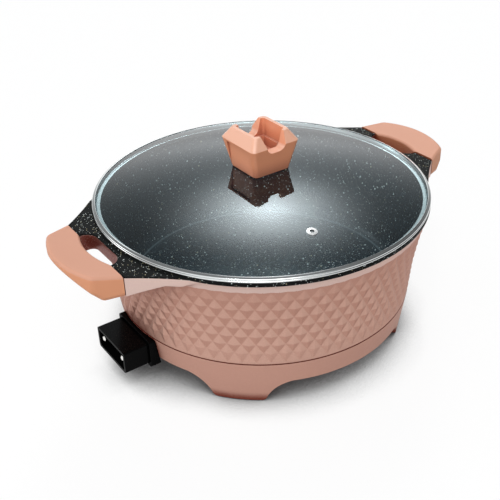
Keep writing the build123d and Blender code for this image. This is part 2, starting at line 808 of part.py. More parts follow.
def vent_eyelet():
    """A rolled eyelet: a barrel through the glass with a flange on each side."""
    barrel_length = glass_thickness+2*sheet_fit
    low = -glass_thickness-sheet_fit-vent_flange_thickness
    profile = make_face(Polyline(
        (vent_bore_radius, vent_flange_thickness+sheet_fit),
        (vent_flange_radius, vent_flange_thickness/2+sheet_fit),
        (vent_flange_radius, sheet_fit),
        (vent_barrel_radius, sheet_fit),
        (vent_barrel_radius, sheet_fit-barrel_length),
        (vent_flange_radius, sheet_fit-barrel_length),
        (vent_flange_radius, low),
        (vent_bore_radius, low),
        close=True,
    ).edges())
    return vent_plane()*turned(profile)


def knob_section(half, height, corner):
    return Pos(0, 0, knob_base_z+height)*RectangleRounded(2*half, 2*half, corner)


def knob_shell():
    """The outside of the knob: an inverted square cone with a bevelled brim."""
    waist = knob_section(knob_waist_half, 0, knob_corner_round)
    wide = knob_section(knob_wide_half, knob_wide_height, knob_corner_round)
    top = knob_section(knob_top_half, knob_height, knob_corner_round)
    return loft([waist, wide], ruled=True)+loft([wide, top], ruled=True)


def knob_cup():
    """The hollow in the knob, narrower below the ledge."""
    mouth_half = knob_top_half-cup_wall
    well_half = mouth_half-cup_ledge_width
    mouth = knob_section(mouth_half, cup_ledge_height, cup_corner_round)
    well = knob_section(well_half, cup_floor_height, cup_corner_round)
    cup = extrude(mouth, amount=knob_height)
    return cup+extrude(well, amount=knob_height)


def knob_notches():
    """Round-cornered notches through the two walls that face +Y and -Y."""
    bottom = notch_half_width-notch_spread
    top = notch_half_width+notch_spread
    outline = make_face(Polyline(
        (-bottom, knob_height-notch_depth),
        (bottom, knob_height-notch_depth),
        (top, knob_height+notch_spread),
        (-top, knob_height+notch_spread),
        close=True,
    ).edges())
    outline = fillet(outline.vertices().group_by(Axis.Y)[0], notch_corner_round)
    return extrude(Plane.XZ*(Pos(0, knob_base_z)*outline), amount=reach, both=True)


def finger_panel():
    """The hollow for the fingers under the brim on the +X side, fading out towards the foot."""
    low = finger_panel_foot
    high = knob_wide_height-finger_panel_top_drop
    slope = knob_flare/knob_wide_height
    low_x = knob_waist_half+slope*low
    high_x = knob_waist_half+slope*high-finger_panel_depth
    outline = make_face(Polyline(
        (low_x, low), (high_x, high), (reach, high), (reach, low), close=True).edges())
    half_width = knob_waist_half-finger_panel_side_wall
    return extrude(Plane.XZ*(Pos(0, knob_base_z)*outline), amount=half_width, both=True)


def lid_knob():
    knob = knob_shell()-knob_cup()
    knob -= knob_notches()
    knob -= both_ends(finger_panel())
    knob -= upright(0, 0, gasket_radius+gasket_recess_fit, dome_top_z, insert_bottom_z)
    return knob-upright(0, 0, insert_radius, dome_top_z, insert_top_z)


def knob_insert():
    insert = upright(0, 0, insert_radius, insert_bottom_z, insert_top_z)
    return insert-upright(0, 0, knob_screw_radius+thread_fit, insert_bottom_z, reach)


def knob_gasket():
    ring = upright(0, 0, gasket_radius, dome_top_z, dome_top_z+gasket_thickness)
    return ring-upright(0, 0, glass_hole_radius, 0, reach)


def under_washer():
    ring = upright(0, 0, washer_radius+under_washer_margin, washer_top_z, under_washer_top_z)
    return ring-upright(0, 0, knob_screw_radius+screw_hole_fit, 0, reach)


def knob_washer():
    ring = upright(0, 0, washer_radius, knob_screw_seat_z, washer_top_z)
    return ring-upright(0, 0, knob_screw_radius+screw_hole_fit, 0, reach)


def knob_screw():
    return standing_screw(
        0, 0, knob_screw_seat_z, knob_screw_head_radius, knob_screw_head_height,
        knob_screw_radius, insert_top_z-knob_screw_end_gap-knob_screw_seat_z)


def write(node, shape):
    """Write one node; a list of shapes is a group of separate solids."""
    if isinstance(shape, list):
        shape = Compound(children=[solid for item in shape for solid in item.solids()])
    shape.label = node
    export_step(shape, f"parts/{node}.step")


os.makedirs("parts", exist_ok=True)
grip = handle_grip()
write("pot_casting", pot_casting())
write("heating_element", heating_element())
write("terminal_pin_left", terminal_pin(leg_y))
write("terminal_pin_right", terminal_pin(-leg_y))
write("terminal_insulator_left", terminal_insulator(leg_y))
write("terminal_insulator_right", terminal_insulator(-leg_y))
write("probe_sleeve", probe_sleeve())
write("socket_shroud", socket_shroud())
write("socket_bezel", socket_bezel())
write("socket_screws", socket_screws())
write("base_skirt", base_skirt())
for name, angle in zip(("back_right", "back_left", "front_left", "front_right"), foot_angles):
    write(f"foot_pad_{name}", foot_pad(angle))
write("base_cover", base_cover())
write("insulation_pad", insulation_pad())
write("reflector_plate", reflector_plate())
write("spacer_washers", spacer_washers())
write("base_screws", base_screws())
write("cover_screws", cover_screws())
write("grip_right", grip)
write("grip_left", mirror(grip, about=Plane.YZ))
write("grip_screws", grip_screws())
write("lid_glass", lid_glass())
write("lid_rim_band", lid_rim_band())
write("vent_eyelet", vent_eyelet())
write("lid_knob", lid_knob())
write("knob_insert", knob_insert())
write("knob_gasket", knob_gasket())
write("under_washer", under_washer())
write("knob_washer", knob_washer())
write("knob_screw", knob_screw())
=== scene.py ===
import json
from collections import namedtuple
from math import atan2, cos, degrees, hypot, radians, sin, sqrt

import bmesh
import bpy
from mathutils import Matrix, Vector


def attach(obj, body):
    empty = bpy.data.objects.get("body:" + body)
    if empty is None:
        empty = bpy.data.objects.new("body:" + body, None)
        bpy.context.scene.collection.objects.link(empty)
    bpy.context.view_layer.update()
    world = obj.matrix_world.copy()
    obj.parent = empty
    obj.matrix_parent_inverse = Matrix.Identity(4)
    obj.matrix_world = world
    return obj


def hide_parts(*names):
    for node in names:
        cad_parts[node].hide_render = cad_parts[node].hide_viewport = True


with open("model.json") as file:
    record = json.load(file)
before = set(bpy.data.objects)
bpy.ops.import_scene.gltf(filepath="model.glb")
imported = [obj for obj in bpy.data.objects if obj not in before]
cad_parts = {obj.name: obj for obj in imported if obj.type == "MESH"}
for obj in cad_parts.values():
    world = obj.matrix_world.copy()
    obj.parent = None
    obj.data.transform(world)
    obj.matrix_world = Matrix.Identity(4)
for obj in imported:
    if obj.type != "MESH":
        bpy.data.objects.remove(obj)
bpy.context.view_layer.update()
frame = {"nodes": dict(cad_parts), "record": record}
MM = 0.001

# Sizes of the pot that repeat the part's own, in millimetres
RIM_RADIUS = 160.0
RIM_TOP = 142.0
RIM_UNDER = 138.0
RIM_INNER = 154.6
WALL_TOP_RADIUS = 158.4
WALL_FOOT_RADIUS = 145.8
WALL_FOOT = 47.2
WALL_BOW = 2.6
INNER_FOOT_RADIUS = 141.6
FLOOR_TOP = 40.0
FLOOR_UNDER = 37.0
FLOOR_FLAT_RADIUS = 123.0
FLOOR_CORNER = 18.0
CORNER_CENTRE = 124.35
# Radius and half width of a painted highlight line in the floor's corner
CORNER_HIGHLIGHT_RADIUS = 134.0
HIGHLIGHT_HALF_WIDTH = 1.3
NEST_RADIUS = 141.3

# Sizes of the ears and their finger gaps, in millimetres
EAR_TOP = 141.5
EAR_END = 176.1
EAR_HALF_WIDTH = 54.0
EAR_WAIST = (148.6, 76.2)
EAR_SPREAD = 42.0
EAR_UNDER_ROOT = 133.0
EAR_UNDER_SLOPE = 11.0/26.5
EAR_UNDER_START = 150.0
EAR_CREASE_RADIUS = 160.3
EAR_CREASE_LIFT = 0.12
EAR_TOP_START = 160.9
EAR_BLEND = 4.0
EAR_TOP_INSET = 1.6
EAR_SIDE_DROP = 1.4
EAR_SIDE_LIFT = 1.6
EAR_UNDER_INSET = 1.7
EAR_WALL_HEIGHT = 131.5
EAR_WALL_OUT = 1.8
EAR_WALL_DROP = 0.3
GAP_START = 165.0
GAP_HALF_WIDTH = 30.0
GAP_CORNER = 12.0

# Sizes of the lid's glass, in millimetres
DOME_TOP = 167.7
GLASS_RADIUS = 159.0
GLASS_EDGE = 146.0
GLASS_THICKNESS = 3.0
GLASS_HOLE = 3.4
DOME_RADIUS = (GLASS_RADIUS**2+(DOME_TOP-GLASS_EDGE)**2)/(2*(DOME_TOP-GLASS_EDGE))

# Facets of the pot's wall: widest lines of the rows, and how far they stand out and in
FACETS_ROUND = 72
FACET_PHASE = -0.58
FACET_ROWS = (130.3, 120.1, 110.1, 99.6, 89.0, 79.1, 69.2, 59.9, 49.6)
FACET_PEAK = 0.95
FACET_VALLEY = -0.85
RIDGE_BEVEL = 0.42

# Rings of the pot's mesh: radii on the floor, turns in degrees round its corner, heights up the wall, and
# (radius, height) over the rim and under the wall's foot. The rim's coat starts at a height of its own
FLOOR_RINGS = (30.0, 60.0, 85.0, 105.0, 118.0)
CORNER_RINGS = tuple(-90.0+11.0*i for i in range(9))
INNER_WALL_RINGS = (63.0, 72.0, 83.0, 95.0, 107.0, 119.0, 129.0, 136.0, 140.0, 141.3)
RIM_RINGS = (
    (154.85, 141.8), (155.4, RIM_TOP), (157.4, RIM_TOP),
    (159.2, RIM_TOP), (159.75, 141.82), (RIM_RADIUS, 141.4),
)
RIM_COAT_START = 140.0
FOOT_START = 48.3
FOOT_RINGS = (
    (145.75, 47.55), (145.5, 47.3), (145.0, WALL_FOOT), (NEST_RADIUS, WALL_FOOT),
    (137.5, 42.6), (132.5, 39.3), (FLOOR_FLAT_RADIUS, FLOOR_UNDER), (60.0, FLOOR_UNDER),
)
GLASS_RINGS = (GLASS_HOLE, 12.0, 30.0, 50.0, 70.0, 90.0, 110.0, 125.0, 138.0, 148.0, 155.0, 158.3)
COLUMN_STEP = 1.25

# Limits for rounding the edges of the CAD's own meshes: a length in metres and angles in degrees
WELD_DISTANCE = 2e-6
FLAT_ANGLE = 0.6
EDGE_ANGLE = 22.0

# Material slots of the pot's mesh
RIM_SLOT, WALL_SLOT, LIP_SLOT, INSIDE_SLOT = range(4)

# One column of the pot's upper part: its angle, its point on the outline, the way out from there, and how
# much of the column belongs to an ear
Column = namedtuple("Column", "angle x y out_x out_y ear_share")


class Tree:
    """The node tree of a material or world, with short ways to add and join nodes."""

    def __init__(self, owner):
        owner.use_nodes = True
        self.owner = owner
        self.tree = owner.node_tree
        self.tree.nodes.clear()
        self.coordinates = self.add("ShaderNodeTexCoord").outputs
        self.place = self.coordinates["Object"]

    def add(self, kind, inputs=None, **settings):
        made = self.tree.nodes.new(kind)
        for key, value in settings.items():
            setattr(made, key, value)
        for key, value in (inputs or {}).items():
            self.join(value, made.inputs[key])
        return made

    def join(self, value, socket):
        if isinstance(value, bpy.types.NodeSocket):
            self.tree.links.new(value, socket)
        else:
            socket.default_value = value

    def math(self, operation, first, second=0.0):
        return self.add("ShaderNodeMath", {0: first, 1: second}, operation=operation).outputs[0]

    def vector_math(self, operation, first, second=(0.0, 0.0, 0.0)):
        return self.add("ShaderNodeVectorMath", {0: first, 1: second}, operation=operation)

    def largest(self, first, *others):
        for other in others:
            first = self.math("MAXIMUM", first, other)
        return first

    def span(self, value, low, high, to_low=0.0, to_high=1.0):
        """A smooth step from one number to another while the value goes from low to high."""
        made = self.add("ShaderNodeMapRange", {
            "Value": value, "From Min": low, "From Max": high, "To Min": to_low, "To Max": to_high,
        }, interpolation_type="SMOOTHSTEP")
        return made.outputs["Result"]

    def mix(self, factor, first, second):
        """A mix of two colours, which are this node's sockets 6 and 7."""
        made = self.add("ShaderNodeMix", data_type="RGBA")
        self.join(factor, made.inputs[0])
        self.join(first, made.inputs[6])
        self.join(second, made.inputs[7])
        return made.outputs[2]

    def blend(self, share, first, second):
        """The first shader where the share is zero, the second where it is one."""
        return self.add("ShaderNodeMixShader", {0: share, 1: first, 2: second}).outputs[0]

    def noise(self, scale, detail=2.0, place=None):
        vector = place or self.place
        made = self.add("ShaderNodeTexNoise", {"Vector": vector, "Scale": scale, "Detail": detail})
        return made.outputs["Fac"]

    def around(self, noise, middle, below, above):
        """A number that wanders round its middle as the noise does."""
        return self.span(noise, 0.3, 0.7, middle-below, middle+above)

    def bump(self, height, strength, distance):
        made = self.add("ShaderNodeBump", {"Height": height, "Strength": strength, "Distance": distance})
        return made.outputs["Normal"]

    def rise(self):
        """How far a face looks up, from the object's own normals."""
        return self.add("ShaderNodeSeparateXYZ", {0: self.coordinates["Normal"]}).outputs["Z"]

    def dots(self, scale, largest, share):
        """Round dots at random places. Gives the mask and a random number for each dot."""
        cells = self.add("ShaderNodeTexVoronoi", {"Vector": self.place, "Scale": scale, "Randomness": 1.0})
        parts = self.add("ShaderNodeSeparateColor", {"Color": cells.outputs["Color"]})
        radius = self.span(parts.outputs[0], 1.0-share, 1.0, 0.0, largest)
        inside = self.math("SUBTRACT", radius, cells.outputs["Distance"])
        return self.span(inside, -0.012, 0.03), parts.outputs[1]

    def open_share(self, distance):
        """One on open faces, less where something stands nearer than the distance."""
        return self.add("ShaderNodeAmbientOcclusion", {"Distance": distance}, samples=8).outputs["AO"]

    def recess_shade(self, distance, first=0.8, full=0.3):
        """Mask of painted shade: nothing on open faces, growing towards one in corners and narrow gaps."""
        return self.span(self.open_share(distance), first, full)

    def principled(self, inputs):
        return self.add("ShaderNodeBsdfPrincipled", inputs).outputs["BSDF"]

    def finish(self, shader, output="ShaderNodeOutputMaterial"):
        self.add(output, {"Surface": shader})
        return self.owner


def material_tree(name):
    return Tree(bpy.data.materials.new(name))


def rgba(colour):
    return (*colour, 1.0)


def grey(value):
    return (value, value, value, 1.0)


def coat_material(name, dark, light, shine, roughness, dot_sizes, golden, grain, highlight_line_radius=None):
    """The dark non-stick coat with its white and golden speckles, and a painted highlight: a paler line round
    the pot's floor.

    Each row of dot_sizes is a layer of speckles: scale, largest size and share of places that have one.
    """
    t = material_tree(name)
    white_fleck = rgba((0.74, 0.80, 0.78))
    golden_fleck = rgba((0.56, 0.50, 0.31))
    highlight_line_colour = rgba((0.14, 0.175, 0.19))
    colour = t.mix(t.noise(55.0, 3.0), rgba(dark), rgba(light))
    for scale, largest, share in dot_sizes:
        mask, tone = t.dots(scale, largest, share)
        fleck = t.mix(t.span(tone, 0.9-golden, 1.1-golden), white_fleck, golden_fleck)
        colour = t.mix(mask, colour, fleck)
    # Painted highlight: a paler line round the floor's corner
    if highlight_line_radius is not None:
        flat = t.vector_math("MULTIPLY", t.place, (1.0, 1.0, 0.0)).outputs[0]
        radius = t.vector_math("LENGTH", flat).outputs["Value"]
        away = t.math("ABSOLUTE", t.math("SUBTRACT", radius, highlight_line_radius*MM))
        colour = t.mix(t.span(away, HIGHLIGHT_HALF_WIDTH*MM, 0.0, 0.0, 0.7), colour, highlight_line_colour)
    return t.finish(t.principled({
        "Base Color": colour,
        "Roughness": t.around(t.noise(300.0), roughness, 0.04, 0.05),
        "Specular IOR Level": shine,
        "Normal": t.bump(t.noise(2600.0), grain, 0.0004),
    }))


def rose_metal(name, light, dark, hollow_shade, hollow, metallic, roughness, grain, coat, under=None):
    """Rose paint with metal flakes in it, and painted shade that makes it darker and redder down in hollows.

    Faces that lean down can take a darker colour: painted shade for light that falls from above.
    """
    t = material_tree(name)
    flake_colour = rgba([min(1.0, 1.35*c) for c in light])
    colour = t.mix(t.noise(9.0, 3.0), rgba(dark), rgba(light))
    if under:
        # Painted shade: faces that lean down take a darker colour, as if less lit from above
        colour = t.mix(t.span(t.rise(), 0.04, -0.32), colour, rgba(under))
    # Painted shade: darker and redder towards corners and narrow gaps
    colour = t.mix(t.recess_shade(hollow, 0.88, 0.56), colour, rgba(hollow_shade))
    flakes, tone = t.dots(1500.0, 0.5, 0.8)
    sparkle = t.math("MULTIPLY", flakes, t.span(tone, 0.2, 1.0, 0.0, 0.28))
    return t.finish(t.principled({
        "Base Color": t.mix(sparkle, colour, flake_colour),
        "Metallic": metallic,
        "Roughness": t.around(t.noise(420.0, 3.0), roughness, 0.05, 0.06),
        "Specular IOR Level": 0.25,
        "Specular Tint": (0.75, 0.35, 0.25, 1.0),
        "Coat Weight": coat,
        "Coat Roughness": 0.22,
        "Normal": t.bump(t.noise(1900.0), grain, 0.0004),
    }))


def satin_plastic(name, light, dark, upright_shade, hollow_shade, hollow, roughness, shine, coat, grain):
    """Smooth moulded plastic with a fine grain, with painted shade: another colour on upright faces and a
    darker one down in hollows.
    """
    t = material_tree(name)
    colour = t.mix(t.noise(22.0, 3.0), rgba(dark), rgba(light))
    # Painted shade: upright faces take a redder, darker colour, as if less lit than the tops
    colour = t.mix(t.span(t.rise(), 0.45, 0.15), colour, rgba(upright_shade))
    return t.finish(t.principled({
        # Painted shade: darker towards corners and narrow gaps
        "Base Color": t.mix(t.recess_shade(hollow), colour, rgba(hollow_shade)),
        "Roughness": t.around(t.noise(500.0, 3.0), roughness, 0.04, 0.05),
        "Specular IOR Level": shine,
        "Coat Weight": coat,
        "Coat Roughness": 0.17,
        "Normal": t.bump(t.noise(1700.0, 3.0), grain, 0.0003),
    }))


def metal(name, colour, roughness, scale=(1.0, 1.0, 1.0), streaks=0.03):
    """Bare metal, its roughness broken up by fine streaks."""
    t = material_tree(name)
    mapping = t.add("ShaderNodeMapping", {"Vector": t.place, "Scale": scale})
    fine = t.noise(900.0, 3.0, mapping.outputs[0])
    return t.finish(t.principled({
        "Base Color": t.mix(fine, rgba([0.93*c for c in colour]), rgba(colour)),
        "Metallic": 1.0,
        "Roughness": t.around(fine, roughness, streaks, streaks),
        "Normal": t.bump(fine, 0.04, 0.0002),
    }))


def pierced_metal(name):
    """Satin chrome of the steam eyelet, with painted shade that makes it dark down in its hole."""
    t = material_tree(name)
    fine = t.noise(1500.0, 3.0)
    bright = t.mix(fine, rgba((0.86, 0.87, 0.87)), grey(0.92))
    # Painted shade: the hole's inside turns black and loses its metal
    hole_shade = t.recess_shade(0.006)
    return t.finish(t.principled({
        "Base Color": t.mix(hole_shade, bright, grey(0.01)),
        "Metallic": t.span(hole_shade, 0.0, 1.0, 0.6, 0.0),
        "Roughness": t.around(fine, 0.29, 0.05, 0.05),
        "Normal": t.bump(fine, 0.04, 0.0002),
    }))


def matt(name, light, dark, roughness, scale):
    """Rubber, board or ceramic."""
    t = material_tree(name)
    broad = t.noise(scale, 4.0)
    return t.finish(t.principled({
        "Base Color": t.mix(broad, rgba(dark), rgba(light)),
        "Roughness": t.around(broad, roughness, 0.06, 0.06),
        "Normal": t.bump(t.noise(3.0*scale, 3.0), 0.25, 0.0004),
    }))


def glass_material(name):
    """Clear tempered glass: a faint tint, and mirror images that grow with the slant."""
    t = material_tree(name)
    smears = t.noise(18.0, 3.0)
    tint = t.mix(smears, rgba((0.85, 0.90, 0.91)), rgba((0.88, 0.93, 0.94)))
    clear = t.add("ShaderNodeBsdfTransparent", {"Color": tint}).outputs[0]
    facing = t.add("ShaderNodeFresnel", {"IOR": 1.62}).outputs[0]
    straight_on = t.mix(smears, rgba((0.86, 0.96, 1.0)), rgba((0.91, 0.98, 1.0)))
    colour = t.mix(t.span(facing, 0.09, 0.22), straight_on, rgba((0.96, 0.97, 0.98)))
    mirror = t.add("ShaderNodeBsdfGlossy", {"Color": colour, "Roughness": 0.0}).outputs[0]
    front = t.math("SUBTRACT", 1.0, t.add("ShaderNodeNewGeometry").outputs["Backfacing"])
    return t.finish(t.blend(t.math("MULTIPLY", facing, front), clear, mirror))


# Speckles of the rim and ears, and the looser ones of the pot's inside
FINE_DOTS = ((900.0, 0.34, 0.34), (520.0, 0.28, 0.28), (300.0, 0.20, 0.24), (150.0, 0.12, 0.12))
LOOSE_DOTS = ((900.0, 0.34, 0.20), (520.0, 0.32, 0.17), (300.0, 0.27, 0.17), (150.0, 0.17, 0.34))

rim_coat = coat_material(
    "speckled_coat", dark=(0.003, 0.0035, 0.0035), light=(0.009, 0.010, 0.010), shine=0.04, roughness=0.44,
    dot_sizes=FINE_DOTS, golden=0.3, grain=0.10)
inside_coat = coat_material(
    "inside_coat", dark=(0.0048, 0.0115, 0.0160), light=(0.0170, 0.0340, 0.0460), shine=0.35, roughness=0.24,
    dot_sizes=LOOSE_DOTS, golden=0.12, grain=0.02, highlight_line_radius=CORNER_HIGHLIGHT_RADIUS)
# The rose paints turn darker and redder in hollows, and the wall's also on faces that lean down: painted
# shade
pot_rose = rose_metal(
    "pot_rose", light=(0.62, 0.372, 0.296), dark=(0.585, 0.345, 0.272), hollow_shade=(0.16, 0.028, 0.018),
    hollow=0.075, metallic=0.35, roughness=0.40, grain=0.10, coat=0.03, under=(0.52, 0.275, 0.210))
lip_rose = rose_metal(
    "lip_rose", light=(0.72, 0.53, 0.475), dark=(0.68, 0.49, 0.43), hollow_shade=(0.18, 0.040, 0.028),
    hollow=0.05, metallic=0.40, roughness=0.34, grain=0.06, coat=0.25)
skirt_rose = rose_metal(
    "skirt_rose", light=(0.60, 0.335, 0.262), dark=(0.568, 0.308, 0.238), hollow_shade=(0.20, 0.04, 0.025),
    hollow=0.015, metallic=0.25, roughness=0.46, grain=0.16, coat=0.05)
# Grips, knob and inlet take other colours on upright faces and in hollows: painted shade
grip_rose = satin_plastic(
    "grip_rose", light=(0.69, 0.355, 0.248), dark=(0.665, 0.338, 0.234), upright_shade=(0.75, 0.335, 0.190),
    hollow_shade=(0.24, 0.055, 0.027), hollow=0.042, roughness=0.40, shine=0.06, coat=0.03, grain=0.06)
knob_rose = satin_plastic(
    "knob_rose", light=(0.87, 0.465, 0.325), dark=(0.845, 0.445, 0.305), upright_shade=(0.93, 0.38, 0.21),
    hollow_shade=(0.46, 0.16, 0.10), hollow=0.026, roughness=0.38, shine=0.15, coat=0.5, grain=0.05)
inlet_black = satin_plastic(
    "inlet_black", light=(0.0020, 0.0020, 0.0022), dark=(0.0014, 0.0014, 0.0016),
    upright_shade=(0.0017, 0.0017, 0.0019), hollow_shade=(0.0006, 0.0006, 0.0006), hollow=0.02, roughness=0.24, shine=0.01,
    coat=0.07, grain=0.03)
glass = glass_material("lid_glass")
chrome = metal("rim_band", (0.70, 0.72, 0.72), 0.10, (1, 1, 12), 0.008)
eyelet_metal = pierced_metal("eyelet_metal")
materials = {
    "element_tube": metal("element_tube", (0.34, 0.32, 0.30), 0.45, streaks=0.08),
    "contact_metal": metal("contact_metal", (0.92, 0.90, 0.86), 0.22, (1, 8, 8)),
    "ceramic_white": matt("ceramic_white", (0.80, 0.78, 0.72), (0.70, 0.68, 0.62), 0.6, 300.0),
    "inlet_black": inlet_black,
    "screw_steel": metal("screw_steel", (0.60, 0.60, 0.60), 0.32, (1, 1, 6)),
    "foot_rubber": matt("foot_rubber", (0.050, 0.050, 0.050), (0.03, 0.03, 0.03), 0.8, 400.0),
    "cover_sheet": metal("cover_sheet", (0.52, 0.52, 0.51), 0.40, (14, 1, 1), 0.08),
    "insulation_board": matt("insulation_board", (0.72, 0.69, 0.60), (0.60, 0.57, 0.49), 0.9, 180.0),
    "reflector_sheet": metal("reflector_sheet", (0.85, 0.85, 0.86), 0.16, (10, 1, 1)),
    "phenolic_washer": matt("phenolic_washer", (0.17, 0.085, 0.045), (0.12, 0.06, 0.03), 0.6, 240.0),
    "grip_pink": grip_rose,
    "skirt_pink": skirt_rose,
    "rim_band": chrome,
    "insert_brass": metal("insert_brass", (0.72, 0.52, 0.23), 0.28, (1, 1, 9)),
    "seal_rubber": matt("seal_rubber", (0.66, 0.65, 0.63), (0.56, 0.55, 0.53), 0.6, 350.0),
}


class Skin:
    """Rings of points round the pot's axis, and the faces between them."""

    def __init__(self):
        self.points = []
        self.faces = []
        self.slots = []

    def ring(self, points):
        first = len(self.points)
        self.points += points
        return list(range(first, len(self.points)))

    def turned(self, radius, height, angles):
        """A round ring with a point at each angle in degrees."""
        return self.ring([(radius*cos(radians(a)), radius*sin(radians(a)), height) for a in angles])

    def face(self, corners, slot):
        self.faces.append(corners)
        self.slots.append(slot)

    def join(self, inner, outer, slot):
        count = len(inner)
        for i in range(count):
            k = (i+1) % count
            self.face((inner[i], outer[i], outer[k], inner[k]), slot)

    def stitch(self, first, first_angles, second, second_angles, slot):
        """Triangles between two rings with different numbers of points."""
        a = list(first_angles)+[first_angles[0]+360.0]
        b = list(second_angles)+[second_angles[0]+360.0]
        i = j = 0
        while i < len(first) or j < len(second):
            here, there = first[i % len(first)], second[j % len(second)]
            if j == len(second) or (i < len(first) and a[i+1] <= b[j+1]):
                self.face((here, there, first[(i+1) % len(first)]), slot)
                i += 1
            else:
                self.face((here, there, second[(j+1) % len(second)]), slot)
                j += 1

    def cap(self, ring, height, slot, up):
        """Triangles from a ring to a point on the axis."""
        middle = self.ring([(0, 0, height)])[0]
        for i, here in enumerate(ring):
            after = ring[(i+1) % len(ring)]
            self.face((middle, here, after) if up else (middle, after, here), slot)

    def build(self, name, slot_materials):
        mesh = bpy.data.meshes.new(name)
        mesh.from_pydata([Vector(p)*MM for p in self.points], [], self.faces)
        for material in slot_materials:
            mesh.materials.append(material)
        mesh.polygons.foreach_set("material_index", self.slots)
        mesh.polygons.foreach_set("use_smooth", [True]*len(mesh.polygons))
        mesh.update()
        made = bpy.data.objects.new(name, mesh)
        bpy.context.collection.objects.link(made)
        return made


def weighted(made, sharp_angle=None):
    """Shading that keeps flat faces flat. Edges past the angle stay sharp."""
    if sharp_angle is not None:
        mesh = made.data
        shape = bmesh.new()
        shape.from_mesh(mesh)
        for edge in shape.edges:
            edge.smooth = len(edge.link_faces) == 2 and edge.calc_face_angle(0.0) < radians(sharp_angle)
        shape.to_mesh(mesh)
        shape.free()
    modifier = made.modifiers.new("weighted", "WEIGHTED_NORMAL")
    modifier.keep_sharp = True
    modifier.weight = 80


def lathe(name, profile, count, material, sharp_angle):
    """A closed profile of (radius, height), turned round the pot's axis."""
    skin = Skin()
    angles = [360.0*i/count for i in range(count)]
    rings = [skin.turned(radius, height, angles) for radius, height in profile]
    for i, ring in enumerate(rings):
        skin.join(ring, rings[(i+1) % len(rings)], 0)
    made = skin.build(name, [material])
    weighted(made, sharp_angle)
    return made


def arc(centre, radius_out, radius_up, step, numbers):
    """Points of an arc in a profile, one for each number of steps in degrees."""
    turns = [radians(step*i) for i in numbers]
    return [(centre[0]+radius_out*cos(turn), centre[1]+radius_up*sin(turn)) for turn in turns]


def outer_wall(z):
    """Radius of the pot's outer wall at a height."""
    f = (z-WALL_FOOT)/(RIM_UNDER-WALL_FOOT)
    return WALL_FOOT_RADIUS+(WALL_TOP_RADIUS-WALL_FOOT_RADIUS)*f-4*f*(1-f)*WALL_BOW


def inner_wall(z):
    """Radius of the pot's inner wall at a height."""
    f = (z-FLOOR_TOP)/(RIM_TOP-FLOOR_TOP)
    return INNER_FOOT_RADIUS+(RIM_INNER-INNER_FOOT_RADIUS)*f-4*f*(1-f)*WALL_BOW


def dome(radius, depth=0.0):
    """Height of the glass's top face, or of one so far below it, at a distance from the axis."""
    return DOME_TOP-DOME_RADIUS+sqrt((DOME_RADIUS-depth)**2-radius**2)


def smooth(value):
    value = min(1.0, max(0.0, value))
    return value*value*(3-2*value)


def between(first, second, share):
    return tuple(a+(b-a)*share for a, b in zip(first, second))


def circle_through(a, b, c):
    """Centre and radius of the circle through three points."""
    d = 2*(a[0]*(b[1]-c[1])+b[0]*(c[1]-a[1])+c[0]*(a[1]-b[1]))
    sa, sb, sc = (p[0]**2+p[1]**2 for p in (a, b, c))
    x = (sa*(b[1]-c[1])+sb*(c[1]-a[1])+sc*(a[1]-b[1]))/d
    y = (sa*(c[0]-b[0])+sb*(a[0]-c[0])+sc*(b[0]-a[0]))/d
    return (x, y), hypot(a[0]-x, a[1]-y)


def ear_outline():
    """The outline of half an ear, from the right finger gap's middle to the rim: rows of (angle, x, y).

    It follows the gap's side and corner, then the ear's end beside the grip, then the arc back to the rim.
    """
    side_steps, corner_steps, arc_steps = 6, 14, 26
    corner_turn = 87.6
    end_points = (30.6, 36.0, 41.0, 47.0, 52.6)
    gap_flat = GAP_HALF_WIDTH-GAP_CORNER
    points = []
    for i in range(side_steps+1):
        y = gap_flat*i/side_steps
        points.append((degrees(atan2(y, GAP_START)), GAP_START, y))
    centre_x = GAP_START+GAP_CORNER
    start = points[-1][0]
    last = degrees(atan2(GAP_HALF_WIDTH, EAR_END))-0.15
    for i in range(1, corner_steps+1):
        turn = radians(corner_turn*i/corner_steps)
        angle = start+(last-start)*i/corner_steps
        points.append((angle, centre_x-GAP_CORNER*cos(turn), gap_flat+GAP_CORNER*sin(turn)))
    for y in end_points:
        points.append((degrees(atan2(y, EAR_END)), EAR_END, y))
    spread = (RIM_RADIUS*cos(radians(EAR_SPREAD)), RIM_RADIUS*sin(radians(EAR_SPREAD)))
    tip = (EAR_END, EAR_HALF_WIDTH)
    centre, radius = circle_through(tip, EAR_WAIST, spread)
    first = atan2(tip[1]-centre[1], tip[0]-centre[0])
    final = atan2(spread[1]-centre[1], spread[0]-centre[0])
    for i in range(arc_steps+1):
        turn = first+(final-first)*i/arc_steps
        x, y = centre[0]+radius*cos(turn), centre[1]+radius*sin(turn)
        points.append((degrees(atan2(y, x)), x, y))
    return points


def pot_columns():
    """The columns of the pot's upper part, all the way round."""
    quarter = ear_outline()
    angle = quarter[-1][0]+COLUMN_STEP
    while angle < 90.0-0.4*COLUMN_STEP:
        quarter.append((angle, RIM_RADIUS*cos(radians(angle)), RIM_RADIUS*sin(radians(angle))))
        angle += COLUMN_STEP
    quarter.append((90.0, 0.0, RIM_RADIUS))
    ring = list(quarter)
    ring += [(180.0-a, -x, y) for a, x, y in reversed(quarter[:-1])]
    ring += [(180.0+a, -x, -y) for a, x, y in quarter[1:]]
    ring += [(360.0-a, x, -y) for a, x, y in reversed(quarter[1:-1])]
    columns = []
    for i, (angle, x, y) in enumerate(ring):
        before, after = ring[i-1], ring[(i+1) % len(ring)]
        along = Vector((after[1]-before[1], after[2]-before[2])).normalized()
        ear_share = smooth((hypot(x, y)-RIM_RADIUS)/EAR_BLEND)
        columns.append(Column(angle, x, y, along.y, -along.x, ear_share))
    return columns


